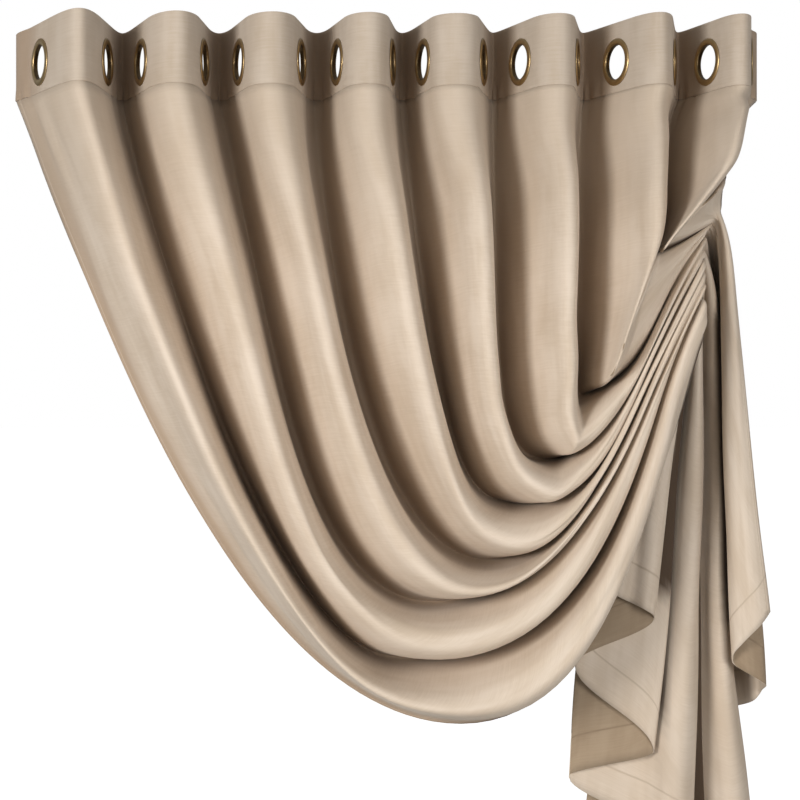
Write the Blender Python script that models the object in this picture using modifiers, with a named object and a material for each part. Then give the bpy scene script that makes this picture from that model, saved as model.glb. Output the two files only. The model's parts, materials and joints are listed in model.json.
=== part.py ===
# Velvet curtain on sixteen brass eyelets, swept to its right in deep swags and gathered there, with the
# lower end falling in a tail whose hems step up to both sides.
# Metres, X along the heading, Z up, the room in front at -Y. Origin at the middle of the top edge.
import bpy
import numpy as np
from math import cos, sin, pi, radians
from mathutils import Matrix, Vector

PART_NAME = "velvet_curtain"

# Heading strip and its eyelets
HEADING_DROP = 0.0825
HEADING_THICK = 0.0024
BULGE_COLUMNS = 6
EYELET_Z = -0.047
EYELET_BORE = 0.0405
EYELET_OUTER = 0.056
EYELET_FLANGE = 0.0018
EYELET_BARREL = 0.0042
EYELET_PLAY = 0.0006
EYELET_RIM = 0.35
EYELET_LIP = 0.60
EYELET_SEGMENTS = 18
HOLE_SEGMENTS = 20
CUTTER_DEPTH = 0.014

# Hanging cloth
SEAM_GAP = 0.0004
CLOTH_THICK = 0.0012
FOLDS = 8
COLUMNS_PER_FOLD = 10
SWAG_ROWS = 20
TURN_ROWS = 6
TAIL_ROWS = 7

# Flat run of cloth each side of an eyelet centre, and its share of one fold
FLAT_HALF = 0.0310
FLAT_SHARE = 0.11
LEFT_EDGE = (-0.4555, 0.0740)
RIGHT_EDGE = (0.4520, 0.0680)
EDGE_TURN = 75.0
EDGE_REACH = 0.060

# One row per fold of the heading: centre and angle of its left slope, centre and angle of its right slope,
# depth of the bulge towards the room, depth of the bulge behind it on the right. Angles in degrees.
HEADING_FOLDS = (
    (-0.4117, 60.0, -0.3343, 86.0, 0.083, 0.064),
    (-0.2915, 67.0, -0.2189, 86.0, 0.069, 0.064),
    (-0.1749, 71.0, -0.1035, 82.5, 0.064, 0.062),
    (-0.0583, 73.0, 0.0048, 84.0, 0.061, 0.062),
    (0.0441, 73.0, 0.1131, 79.0, 0.055, 0.060),
    (0.1595, 66.5, 0.2249, 80.5, 0.055, 0.061),
    (0.2737, 63.5, 0.3403, 79.5, 0.061, 0.058),
    (0.3820, 68.0, 0.4320, 80.0, 0.052, 0.060),
)

# One row per valley between folds, from the leading edge inwards: lowest point X and Z, slopes in degrees
# where the curve arrives there and where it leaves, reach of the curve before and after it, pull of the
# curve below the heading in X and Z, pull before the gather in X and Z, end at the gather X and Z, share of
# the rise done where all run side by side, and how long the line waits before it runs on from there.
SWAG_LINES = (
    (0.062, -0.828, -7.1, -7.1, 0.212, 0.207, 0.149, -0.375, -0.064, -0.168, 0.374, -0.376, 0.78, 1.0),
    (0.003, -0.757, -8.0, -2.0, 0.163, 0.285, -0.010, -0.008, -0.099, -0.169, 0.371, -0.327, 0.71, 1.0),
    (0.088, -0.686, 14.0, 11.0, 0.182, 0.157, 0.083, -0.371, -0.081, -0.141, 0.371, -0.312, 0.62, 1.0),
    (0.135, -0.639, 10.0, 8.0, 0.191, 0.105, -0.007, 0.003, -0.069, -0.113, 0.371, -0.299, 0.54, 1.0),
    (0.128, -0.567, -19.0, -14.0, 0.028, 0.128, 0.037, -0.442, -0.101, -0.173, 0.369, -0.288, 0.48, 1.0),
    (0.182, -0.519, -6.0, -6.0, 0.050, 0.086, 0.004, -0.356, -0.059, -0.084, 0.369, -0.2755, 0.33, 1.0),
    (0.228, -0.444, -80.0, 20.0, 0.030, 0.096, -0.005, -0.002, -0.071, -0.096, 0.371, -0.261, 0.30, 1.0),
    (0.318, -0.272, -104.0, -104.0, 0.080, 0.008, -0.036, -0.090, -0.024, -0.016, 0.377, -0.246, 0.10, 1.2),
    (0.406, -0.179, -110.5, -110.5, 0.025, 0.010, -0.036, -0.030, 0.010, 0.040, 0.390, -0.228, 0.40, 1.0),
)
LOWEST_SHARE = 0.55
RISE_SHARE = 0.78
CURVE_SAMPLES = 60

# One row per station along a swag: share of its length, half depth of the folds, lean of the crests to the
# inner side, breadth of the crests, forward swing of the whole cloth, roundness of crests and valleys.
SWAG_STATIONS = (
    (0.00, 0.062, 0.14, 0.30, 0.000, 0.00),
    (0.12, 0.064, 0.24, 0.28, 0.006, 0.00),
    (0.30, 0.066, 0.28, 0.25, 0.028, 0.10),
    (0.46, 0.064, 0.22, 0.28, 0.044, 0.10),
    (0.53, 0.062, 0.02, 0.34, 0.048, 0.10),
    (0.60, 0.058, -0.20, 0.50, 0.050, 0.15),
    (0.72, 0.050, -0.04, 0.50, 0.048, 0.30),
    (0.86, 0.030, 0.04, 0.30, 0.040, 0.65),
    (0.94, 0.016, 0.00, 0.00, 0.036, 0.90),
    (1.00, 0.005, 0.00, 0.00, 0.032, 0.95),
)
# Tips of two inner folds, drawn towards the gather: fold, shift in X and Z, start, peak and end along the
# swag, reach in folds
CREST_SHIFTS = (
    (6.42, 0.010, -0.002, 0.30, 0.55, 0.72, 0.50),
    (4.50, 0.020, 0.004, 0.40, 0.56, 0.70, 0.50),
)
INNER_FOLD = 7.0
INNER_DROOP = -0.22
INNER_DROOP_SPAN = (0.46, 0.60, 0.86, 0.98)
# The fold before the inner one flattens as it nears the gather
FLAT_FOLD = 6.6
FLAT_FOLD_REACH = 1.4
FLAT_FOLD_LEFT = 0.25
FLAT_FOLD_START = 0.57
FLAT_FOLD_RUN = 0.16
# The folds shift sideways as they close up at the gather, all but the inner one, which lies flat there
GATHER_SWAY = 0.002
GATHER_START = 0.80
INNER_DEPTH_LEFT = 0.0
HEADING_BLEND = 0.17
# The leading edge is tucked in: share of its depth that is left, where along the swag it starts, half fold
LEADING_DEPTH_LEFT = 0.30
LEADING_TUCK_RUN = 0.30
LEADING_WIDTH = 0.5

# Heights at which the tail rows give X, and the depths at its top and its low end
TAIL_HEIGHTS = (-0.382, -0.571, -0.753, -0.936)
SHOULDER_LEFT = -0.405
SHOULDER_RIGHT = -0.335
TAIL_ROUND = 0.80
# Turn over the gather into the tail: how far the curves run on, and the ways they set out
TURN_REACH = 0.020
TURN_EASE = 0.60
TURN_KEEP = 0.20
TURN_OVER = (0.00, 0.60, 0.80)
TURN_DOWN = (0.45, 0.00, -0.90)
DOWN_FROM = 7.2
NEAR_END = 0.99
FALL_STEP = 0.01

# One row per half fold of the tail: fold number, X at the four heights, Y at the top and low height, hem Z.
TAIL_LINES = (
    (0.0, 0.341, 0.303, 0.252, 0.243, 0.012, 0.010, -0.680),
    (0.5, 0.363, 0.336, 0.317, 0.304, 0.022, 0.020, -0.713),
    (1.0, 0.320, 0.267, 0.229, 0.209, 0.032, 0.034, -0.768),
    (1.5, 0.366, 0.350, 0.337, 0.315, 0.040, 0.044, -0.876),
    (2.0, 0.326, 0.266, 0.233, 0.219, 0.050, 0.056, -0.909),
    (2.5, 0.384, 0.384, 0.380, 0.375, 0.058, 0.066, -1.000),
    (3.0, 0.328, 0.285, 0.262, 0.245, 0.066, 0.076, -1.022),
    (3.5, 0.383, 0.386, 0.387, 0.392, 0.074, 0.084, -1.042),
    (4.0, 0.335, 0.300, 0.275, 0.262, 0.098, 0.114, -1.061),
    (4.5, 0.413, 0.420, 0.427, 0.449, 0.084, 0.096, -1.072),
    (5.0, 0.338, 0.300, 0.280, 0.270, 0.112, 0.130, -1.071),
    (5.5, 0.412, 0.420, 0.428, 0.440, 0.118, 0.140, -1.041),
    (6.0, 0.345, 0.320, 0.305, 0.300, 0.130, 0.154, -0.981),
    (6.5, 0.420, 0.428, 0.435, 0.444, 0.124, 0.146, -0.837),
    (7.0, 0.431, 0.444, 0.460, 0.470, 0.062, 0.072, -0.800),
    (7.5, 0.404, 0.409, 0.418, 0.429, 0.038, 0.046, -0.764),
    (8.0, 0.426, 0.446, 0.467, 0.479, 0.026, 0.032, -0.704),
)

VELVET = (0.62, 0.51, 0.40)
VELVET_ROUGH = 0.85
BRASS = (0.42, 0.30, 0.15)
BRASS_ROUGH = 0.35


def clear_scene():
    for obj in list(bpy.data.objects):
        bpy.data.objects.remove(obj)
    for store in (bpy.data.meshes, bpy.data.materials, bpy.data.collections):
        for item in list(store):
            store.remove(item)


def make_collection(name):
    coll = bpy.data.collections.new(name)
    bpy.context.scene.collection.children.link(coll)
    return coll


def make_material(name, colour, roughness, metallic):
    mat = bpy.data.materials.new(name)
    mat.use_nodes = True
    shader = mat.node_tree.nodes["Principled BSDF"]
    shader.inputs["Base Color"].default_value = (*colour, 1.0)
    shader.inputs["Roughness"].default_value = roughness
    shader.inputs["Metallic"].default_value = metallic
    return mat


def ease(s):
    s = min(1.0, max(0.0, s))
    return s * s * (3.0 - 2.0 * s)


def hermite(a, reach_a, b, reach_b, s):
    s2 = s * s
    s3 = s2 * s
    return (2 * s3 - 3 * s2 + 1) * a + (s3 - 2 * s2 + s) * reach_a + (3 * s2 - 2 * s3) * b + (s3 - s2) * reach_b


def smooth_table(stations, values, s):
    # Smooth curve through the rows, straight on beyond both ends
    stations = np.asarray(stations, float)
    values = np.asarray(values, float)
    if s <= stations[0]:
        slope = (values[1] - values[0]) / (stations[1] - stations[0])
        return values[0] + slope * (s - stations[0])
    if s >= stations[-1]:
        slope = (values[-1] - values[-2]) / (stations[-1] - stations[-2])
        return values[-1] + slope * (s - stations[-1])
    i = int(np.searchsorted(stations, s, side="right")) - 1
    i = min(i, len(stations) - 2)
    before = max(i - 1, 0)
    after = min(i + 2, len(stations) - 1)
    span = stations[i + 1] - stations[i]
    slope_a = (values[i + 1] - values[before]) / (stations[i + 1] - stations[before])
    slope_b = (values[after] - values[i]) / (stations[after] - stations[i])
    return hermite(values[i], slope_a * span, values[i + 1], slope_b * span, (s - stations[i]) / span)


# Heading wave: flat slopes through the eyelets joined by round bulges
def slope_point(row, side, run):
    x, angle = (row[0], row[1]) if side == "left" else (row[2], row[3])
    lean = radians(angle)
    turn = -1.0 if side == "left" else 1.0
    return np.array([x + run * cos(lean), turn * run * sin(lean)])


def slope_way(row, side):
    return slope_point(row, side, 1.0) - slope_point(row, side, 0.0)


def bulge(a, way_a, b, way_b, depth, s):
    # Bulge from a to b whose middle lies at the given Y
    reach = 8.0 * (depth - 0.5 * (a[1] + b[1])) / (way_a[1] - way_b[1])
    return hermite(a, way_a * reach, b, way_b * reach, s)


def heading_point(u):
    k = min(int(u), FOLDS - 1)
    f = u - k
    row = HEADING_FOLDS[k]
    room = 0.5 - 2.0 * FLAT_SHARE
    if f < 0.25 - FLAT_SHARE:
        end = slope_point(row, "left", -FLAT_HALF)
        if k == 0:
            turn = radians(EDGE_TURN)
            way = np.array([cos(turn), -sin(turn)])
            share = f / (0.25 - FLAT_SHARE)
            return hermite(np.array(LEFT_EDGE), way * EDGE_REACH, end, slope_way(row, "left") * EDGE_REACH, share)
        last = HEADING_FOLDS[k - 1]
        start = slope_point(last, "right", FLAT_HALF)
        share = (f + 0.25 - FLAT_SHARE) / room
        return bulge(start, slope_way(last, "right"), end, slope_way(row, "left"), last[5], share)
    if f <= 0.25 + FLAT_SHARE:
        return slope_point(row, "left", (f - 0.25) / FLAT_SHARE * FLAT_HALF)
    if f < 0.75 - FLAT_SHARE:
        start = slope_point(row, "left", FLAT_HALF)
        end = slope_point(row, "right", -FLAT_HALF)
        share = (f - 0.25 - FLAT_SHARE) / room
        return bulge(start, slope_way(row, "left"), end, slope_way(row, "right"), -row[4], share)
    if f <= 0.75 + FLAT_SHARE:
        return slope_point(row, "right", (f - 0.75) / FLAT_SHARE * FLAT_HALF)
    start = slope_point(row, "right", FLAT_HALF)
    if k == FOLDS - 1:
        share = (f - 0.75 - FLAT_SHARE) / (0.25 - FLAT_SHARE)
        way = slope_way(row, "right")
        return hermite(start, way * EDGE_REACH, np.array(RIGHT_EDGE), way * EDGE_REACH, share)
    after = HEADING_FOLDS[k + 1]
    end = slope_point(after, "left", -FLAT_HALF)
    share = (f - 0.75 - FLAT_SHARE) / room
    return bulge(start, slope_way(row, "right"), end, slope_way(after, "left"), row[5], share)


# Swags: curves down from the heading, round their lowest point and up to the gather
def cubic(a, b, c, d, count):
    s = np.linspace(0.0, 1.0, count)[:, None]
    return (1 - s) ** 3 * a + 3 * (1 - s) ** 2 * s * b + 3 * (1 - s) * s * s * c + s ** 3 * d


def by_length(points, share):
    steps = np.hypot(*np.diff(points, axis=0).T)
    run = np.concatenate([[0.0], np.cumsum(steps)])
    want = share * run[-1]
    return np.array([np.interp(want, run, points[:, 0]), np.interp(want, run, points[:, 1])])


def make_swag_curves():
    curves = []
    top = -HEADING_DROP - SEAM_GAP
    for k, row in enumerate(SWAG_LINES):
        low_x, low_z, slope_in, slope_out, before, after, pull_x, pull_z, *gather = row
        end_pull_x, end_pull_z, end_x, end_z, rise, late = gather
        start = np.array([heading_point(float(k))[0], top])
        low = np.array([low_x, low_z])
        way_in = np.array([cos(radians(slope_in)), sin(radians(slope_in))])
        way_out = np.array([cos(radians(slope_out)), sin(radians(slope_out))])
        end = np.array([end_x, end_z])
        down = cubic(start, start + (pull_x, pull_z), low - way_in * before, low, CURVE_SAMPLES)
        up = cubic(low, low + way_out * after, end + (end_pull_x, end_pull_z), end, CURVE_SAMPLES)
        curves.append((down, up, rise, late))
    return curves


def rise_share(rise, late, t):
    # Share of the rising length; the inner lines wait longer before they run to the gather
    if t < RISE_SHARE:
        return rise * (t - LOWEST_SHARE) / (RISE_SHARE - LOWEST_SHARE)
    return rise + (1.0 - rise) * ((t - RISE_SHARE) / (1.0 - RISE_SHARE)) ** late


def swag_lines_at(curves, t):
    points = []
    for down, up, rise, late in curves:
        if t <= LOWEST_SHARE:
            points.append(by_length(down, t / LOWEST_SHARE))
        else:
            points.append(by_length(up, rise_share(rise, late, t)))
    return np.array(points)


def bend_way(points, i):
    # Direction through a row point, kept short where the neighbours are close
    if i == 0:
        return points[1] - points[0]
    if i == len(points) - 1:
        return points[-1] - points[-2]
    back = points[i] - points[i - 1]
    ahead = points[i + 1] - points[i]
    size_back = np.linalg.norm(back)
    size_ahead = np.linalg.norm(ahead)
    return (back * size_ahead + ahead * size_back) / (size_back + size_ahead)


def across(points, q):
    i = int(min(max(q, 0.0), len(points) - 1.001))
    return hermite(points[i], bend_way(points, i), points[i + 1], bend_way(points, i + 1), q - i)


def crest_shift(u, t):
    shift = np.zeros(2)
    for fold, shift_x, shift_z, start, peak, stop, reach in CREST_SHIFTS:
        along = ease((t - start) / (peak - start)) * ease((stop - t) / (stop - peak))
        shift += along * ease(1.0 - abs(u - fold) / reach) * np.array([shift_x, shift_z])
    return shift


def swag_point(tops, lines, u, t):
    stations = [row[0] for row in SWAG_STATIONS]
    half_depth, lean, breadth, swing, roundness = (
        smooth_table(stations, [row[c] for row in SWAG_STATIONS], t) for c in range(1, 6))
    near = ease(1.0 - abs(u - FLAT_FOLD) / FLAT_FOLD_REACH) * ease((t - FLAT_FOLD_START) / FLAT_FOLD_RUN)
    kept = 1.0 - (1.0 - FLAT_FOLD_LEFT) * near
    half_depth, lean, breadth, roundness = (value * kept for value in (half_depth, lean, breadth, roundness))
    rise_in, full, drop_from, gone = INNER_DROOP_SPAN
    if u > INNER_FOLD:
        lean += INNER_DROOP * ease((t - rise_in) / (full - rise_in)) * ease((gone - t) / (gone - drop_from))
    gather = ease((t - GATHER_START) / (1.0 - GATHER_START))
    flat = ease(u - INNER_FOLD) * gather
    half_depth *= 1.0 - (1.0 - INNER_DEPTH_LEFT) * flat
    roundness *= 1.0 - flat
    turn = 2.0 * pi * (u % 1.0)
    share = u - breadth * sin(turn) / (2.0 * pi) + lean * (1.0 - cos(turn)) / 2.0
    share += roundness * sin(2.0 * turn) / (4.0 * pi)
    place = across(lines, share) + crest_shift(u, t)
    sway = GATHER_SWAY * kept * gather * (1.0 - ease(2.0 * (u - INNER_FOLD)))
    place = place - np.array([sway * cos(turn), 0.0])
    tuck = 1.0
    if u < LEADING_WIDTH:
        tuck = 1.0 - (1.0 - LEADING_DEPTH_LEFT) * ease(t / LEADING_TUCK_RUN) * (1.0 - ease(u / LEADING_WIDTH))
    y = -swing + half_depth * cos(turn) * tuck
    blend = ease(t / HEADING_BLEND)
    if blend < 1.0:
        head = heading_point(u)
        drift = across(lines, u)[0] - across(tops, u)[0]
        place = np.array([place[0] * blend + (head[0] + drift) * (1.0 - blend), place[1]])
        y = y * blend + head[1] * (1.0 - blend)
    return np.array([place[0], y, place[1]])


# Tail: stacked folds given by their X and Y at each height, cut off at the hem
def tail_point(u, z):
    folds = [row[0] for row in TAIL_LINES]
    xs = [smooth_table([-h for h in TAIL_HEIGHTS], row[1:5], -z) for row in TAIL_LINES]
    share = (TAIL_HEIGHTS[0] - z) / (TAIL_HEIGHTS[0] - TAIL_HEIGHTS[-1])
    ys = [row[5] + (row[6] - row[5]) * share for row in TAIL_LINES]
    # Depth changes mostly round the turns, so the turns are round and the runs between them flat
    round_u = u + TAIL_ROUND * sin(4.0 * pi * u) / (4.0 * pi)
    return np.array([smooth_table(folds, xs, u), smooth_table(folds, ys, round_u), z])


def shoulder_z(u):
    return SHOULDER_LEFT + (SHOULDER_RIGHT - SHOULDER_LEFT) * u / FOLDS


def hem_z(u):
    return float(np.interp(u, [row[0] for row in TAIL_LINES], [row[7] for row in TAIL_LINES]))


def cloth_rows():
    curves = make_swag_curves()
    columns = FOLDS * COLUMNS_PER_FOLD
    us = [FOLDS * c / columns for c in range(columns + 1)]
    tops = swag_lines_at(curves, 0.0)
    rows = []
    step = 1.0 / SWAG_ROWS
    for r in range(SWAG_ROWS + 1):
        lines = swag_lines_at(curves, r * step)
        rows.append([swag_point(tops, lines, u, r * step) for u in us])
    before = swag_lines_at(curves, NEAR_END)
    ends = rows[-1]
    ways = []
    for u, end in zip(us, ends):
        way = end - swag_point(tops, before, u, NEAR_END)
        way = TURN_KEEP * way / np.linalg.norm(way) + (1.0 - TURN_KEEP) * np.array(TURN_OVER)
        down = ease((u - DOWN_FROM) / (FOLDS - DOWN_FROM))
        way = (1.0 - down) * way + down * np.array(TURN_DOWN)
        ways.append(way / np.linalg.norm(way))
    starts = [tail_point(u, shoulder_z(u)) for u in us]
    falls = []
    for u, start in zip(us, starts):
        fall = tail_point(u, shoulder_z(u) - FALL_STEP) - start
        falls.append(fall / np.linalg.norm(fall))
    for r in range(1, TURN_ROWS):
        row = []
        for end, way, start, fall in zip(ends, ways, starts, falls):
            reach = TURN_REACH + TURN_EASE * np.linalg.norm(start - end)
            row.append(hermite(end, way * reach, start, fall * reach, r / TURN_ROWS))
        rows.append(row)
    for r in range(TAIL_ROWS + 1):
        row = []
        for u in us:
            top = shoulder_z(u)
            row.append(tail_point(u, top + (hem_z(u) - top) * r / TAIL_ROWS))
        rows.append(row)
    return rows


def grid_object(name, rows, coll, mat, thickness):
    count = len(rows[0])
    verts = [tuple(float(c) for c in p) for row in rows for p in row]
    faces = []
    for r in range(len(rows) - 1):
        for c in range(count - 1):
            a = r * count + c
            faces.append((a, a + count, a + count + 1, a + 1))
    mesh = bpy.data.meshes.new(name)
    mesh.from_pydata(verts, [], faces)
    mesh.shade_smooth()
    obj = bpy.data.objects.new(name, mesh)
    coll.objects.link(obj)
    mesh.materials.append(mat)
    shell = obj.modifiers.new("thickness", "SOLIDIFY")
    shell.thickness = thickness
    shell.offset = 0.0
    shell.use_even_offset = False
    shell.use_quality_normals = True
    return obj


def eyelet_frames():
    # Centre and axis of each eyelet, left to right; the axis points to the room side
    frames = []
    for row in HEADING_FOLDS:
        for side in ("left", "right"):
            spot = slope_point(row, side, 0.0)
            way = slope_way(row, side)
            axis = Vector((way[1], -way[0], 0.0))
            frames.append((Vector((spot[0], spot[1], EYELET_Z)), axis))
    return frames


def axis_matrix(centre, axis):
    turn = axis.to_track_quat("Z", "Y").to_matrix().to_4x4()
    return Matrix.Translation(centre) @ turn


def heading_columns():
    # Flat runs are one face wide, the bulges between them are finely divided
    us = []
    for k in range(FOLDS):
        for middle in (0.25, 0.75):
            start = k + middle + FLAT_SHARE
            us.append(k + middle - FLAT_SHARE)
            us += [start + (0.5 - 2 * FLAT_SHARE) * c / BULGE_COLUMNS for c in range(BULGE_COLUMNS)]
    half = BULGE_COLUMNS // 2
    us = us[:len(us) - half + 1]
    lead = [(0.25 - FLAT_SHARE) * c / half for c in range(half)]
    return lead + us


def make_heading(coll, cutters, mat):
    us = heading_columns()
    rows = [[np.array([*heading_point(u), z]) for u in us] for z in (0.0, -HEADING_DROP)]
    strip = grid_object("heading", rows, coll, mat, HEADING_THICK)
    hole_radius = EYELET_BORE / 2 + EYELET_BARREL + EYELET_PLAY
    for number, (centre, axis) in enumerate(eyelet_frames(), 1):
        cutter = cylinder_object(f"hole_{number:02d}", hole_radius, CUTTER_DEPTH, cutters)
        cutter.matrix_world = axis_matrix(centre, axis)
    cut = strip.modifiers.new("holes", "BOOLEAN")
    cut.operation = "DIFFERENCE"
    cut.solver = "EXACT"
    cut.operand_type = "COLLECTION"
    cut.collection = cutters
    return strip


def cylinder_object(name, radius, depth, coll):
    verts = []
    faces = []
    for side in (-0.5, 0.5):
        for n in range(HOLE_SEGMENTS):
            turn = 2.0 * pi * n / HOLE_SEGMENTS
            verts.append((radius * cos(turn), radius * sin(turn), side * depth))
    for n in range(HOLE_SEGMENTS):
        m = (n + 1) % HOLE_SEGMENTS
        faces.append((n, m, HOLE_SEGMENTS + m, HOLE_SEGMENTS + n))
    faces.append(tuple(reversed(range(HOLE_SEGMENTS))))
    faces.append(tuple(range(HOLE_SEGMENTS, 2 * HOLE_SEGMENTS)))
    mesh = bpy.data.meshes.new(name)
    mesh.from_pydata(verts, [], faces)
    obj = bpy.data.objects.new(name, mesh)
    obj.hide_render = True
    obj.display_type = "WIRE"
    coll.objects.link(obj)
    return obj


def eyelet_profile():
    # Section of a ring clipped round the cloth: radius and height, down the outer side and back up the bore
    bore = EYELET_BORE / 2
    outer = EYELET_OUTER / 2
    face = HEADING_THICK / 2 + EYELET_PLAY
    dome = face + EYELET_FLANGE
    barrel = bore + EYELET_BARREL
    middle = (bore + outer) / 2
    rim = face + EYELET_RIM * EYELET_FLANGE
    lip = EYELET_LIP * dome
    return (
        (bore, lip),
        (middle, dome),
        (outer, rim),
        (barrel, face),
        (barrel, -face),
        (outer, -rim),
        (middle, -dome),
        (bore, -lip),
    )


def make_eyelet(name, centre, axis, coll, mat):
    profile = eyelet_profile()
    mesh = bpy.data.meshes.new(name)
    edges = [(i, (i + 1) % len(profile)) for i in range(len(profile))]
    mesh.from_pydata([(radius, 0.0, height) for radius, height in profile], edges, [])
    obj = bpy.data.objects.new(name, mesh)
    coll.objects.link(obj)
    mesh.materials.append(mat)
    spin = obj.modifiers.new("round", "SCREW")
    spin.axis = "Z"
    spin.angle = 2.0 * pi
    spin.steps = EYELET_SEGMENTS
    spin.render_steps = EYELET_SEGMENTS
    spin.use_merge_vertices = True
    spin.merge_threshold = 0.00001
    spin.use_smooth_shade = True
    obj.matrix_world = axis_matrix(centre, axis)
    return obj


clear_scene()
PARTS = make_collection(PART_NAME)
CUTTERS = make_collection("cutters")
CLOTH_MAT = make_material("curtain velvet", VELVET, VELVET_ROUGH, 0.0)
HEADING_MAT = make_material("heading velvet", VELVET, VELVET_ROUGH, 0.0)
make_heading(PARTS, CUTTERS, HEADING_MAT)
grid_object("curtain", cloth_rows(), PARTS, CLOTH_MAT, CLOTH_THICK)
for ring, (spot, way_out) in enumerate(eyelet_frames(), 1):
    ring_name = f"eyelet_{ring:02d}"
    make_eyelet(ring_name, spot, way_out, PARTS, make_material(ring_name + " brass", BRASS, BRASS_ROUGH, 1.0))
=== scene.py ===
import bpy
import numpy as np
import json
from math import cos, sin, pi, radians
from mathutils import Matrix, Vector

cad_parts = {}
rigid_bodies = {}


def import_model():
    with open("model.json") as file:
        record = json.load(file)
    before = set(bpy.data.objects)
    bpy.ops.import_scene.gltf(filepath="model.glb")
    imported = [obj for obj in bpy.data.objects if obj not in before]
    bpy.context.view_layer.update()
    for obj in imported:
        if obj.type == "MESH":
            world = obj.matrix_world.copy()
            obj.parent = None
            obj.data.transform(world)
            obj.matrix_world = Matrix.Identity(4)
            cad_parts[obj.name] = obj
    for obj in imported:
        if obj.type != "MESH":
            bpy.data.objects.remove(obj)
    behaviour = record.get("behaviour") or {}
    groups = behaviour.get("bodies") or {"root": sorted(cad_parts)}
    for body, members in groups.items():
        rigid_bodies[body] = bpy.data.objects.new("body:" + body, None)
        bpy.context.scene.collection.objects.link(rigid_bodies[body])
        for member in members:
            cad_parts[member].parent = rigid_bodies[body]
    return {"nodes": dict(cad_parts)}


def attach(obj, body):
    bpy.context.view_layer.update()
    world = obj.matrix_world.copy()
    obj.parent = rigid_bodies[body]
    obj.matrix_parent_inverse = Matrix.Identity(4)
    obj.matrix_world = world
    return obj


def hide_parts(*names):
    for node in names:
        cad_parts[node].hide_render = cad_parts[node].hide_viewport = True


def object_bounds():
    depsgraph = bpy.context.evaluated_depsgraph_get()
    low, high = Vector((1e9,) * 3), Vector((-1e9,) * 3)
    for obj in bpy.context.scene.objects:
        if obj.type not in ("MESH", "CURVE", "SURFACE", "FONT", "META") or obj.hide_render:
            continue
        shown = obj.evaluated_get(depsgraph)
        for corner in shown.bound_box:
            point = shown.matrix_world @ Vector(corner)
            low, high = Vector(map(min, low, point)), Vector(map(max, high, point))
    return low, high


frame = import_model()
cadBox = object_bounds()
print("parts loaded:", len(frame["nodes"]))


# small helpers for curves and tables
def ease(s):
    s = np.clip(s, 0.0, 1.0)
    return s * s * (3.0 - 2.0 * s)


def easeBetween(s, zeroAt, oneAt):
    return ease((s - zeroAt) / (oneAt - zeroAt))


def hermite(a, reachA, b, reachB, s):
    s2 = s * s
    s3 = s2 * s
    fromA = (2 * s3 - 3 * s2 + 1) * a + (s3 - 2 * s2 + s) * reachA
    return fromA + (3 * s2 - 2 * s3) * b + (s3 - s2) * reachB


def smoothTable(stations, values, s):
    # values has one row per station; s is one number, or one for each column
    stations = np.asarray(stations, float)
    values = np.asarray(values, float)
    s = np.broadcast_to(np.asarray(s, float), values.shape[1:])
    cols = np.arange(values.shape[1])
    last = len(stations) - 1
    i = np.clip(np.searchsorted(stations, s, side="right") - 1, 0, last - 1)
    before = np.maximum(i - 1, 0)
    after = np.minimum(i + 2, last)
    span = stations[i + 1] - stations[i]
    slopeA = (values[i + 1, cols] - values[before, cols]) / (stations[i + 1] - stations[before])
    slopeB = (values[after, cols] - values[i, cols]) / (stations[after] - stations[i])
    f = np.clip((s - stations[i]) / span, 0.0, 1.0)
    inside = hermite(values[i, cols], slopeA * span, values[i + 1, cols], slopeB * span, f)
    low = values[0] + (values[1] - values[0]) / (stations[1] - stations[0]) * (s - stations[0])
    high = values[-1] + (values[-1] - values[-2]) / (stations[-1] - stations[-2]) * (s - stations[-1])
    return np.where(s < stations[0], low, np.where(s > stations[-1], high, inside))


# heading band: eight waves, flat where the rings sit
heading = {
    "drop": 0.0825,
    "thick": 0.0024,
    "flatHalf": 0.0310,     # flat cloth each side of a ring's centre
    "flatShare": 0.11,      # that run's share of one fold
    "leftEdge": (-0.4555, 0.0740),
    "rightEdge": (0.4520, 0.0680),
    "edgeTurn": 75.0,
    "edgeReach": 0.060,
    "columns": 544,
    "rows": 18,
    "ringZ": -0.047,
    "holeRadius": 0.0224,
    "holeDepth": 0.014,
    "holeSteps": 48,
    "edgeRound": 0.0008,
    "edgeAngle": 60.0,
    "sharpAngle": 50.0,
    "valleyShadeSpan": (-0.20, 1.00),    # the wave's cosine where the painted valley shade starts and is full
    # left slope: X and angle; right slope: X and angle; depth to the front, depth behind
    "folds": (
        (-0.4117, 60.0, -0.3343, 86.0, 0.083, 0.064),
        (-0.2915, 67.0, -0.2189, 86.0, 0.069, 0.064),
        (-0.1749, 71.0, -0.1035, 82.5, 0.064, 0.062),
        (-0.0583, 73.0, 0.0048, 84.0, 0.061, 0.062),
        (0.0441, 73.0, 0.1131, 79.0, 0.055, 0.060),
        (0.1595, 66.5, 0.2249, 80.5, 0.055, 0.061),
        (0.2737, 63.5, 0.3403, 79.5, 0.061, 0.058),
        (0.3820, 68.0, 0.4320, 80.0, 0.052, 0.060),
    ),
    # small gathers in the valleys, either side of the seam
    "pucker": 0.0016,
    "puckersPerFold": 13.0,
    "puckerWander": (1.7, 5.1),     # how far they stray from an even spacing, and how often
    "puckerValley": (0.15, 0.75),
    "puckerDrop": 0.030,
    "puckerRise": 0.016,
}
foldCount = len(heading["folds"])


def slopePoint(row, side, run):
    x, angle = (row[0], row[1]) if side == "left" else (row[2], row[3])
    lean = radians(angle)
    turn = -1.0 if side == "left" else 1.0
    return np.array([x + run * cos(lean), turn * run * sin(lean)])


def slopeWay(row, side):
    return slopePoint(row, side, 1.0) - slopePoint(row, side, 0.0)


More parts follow.
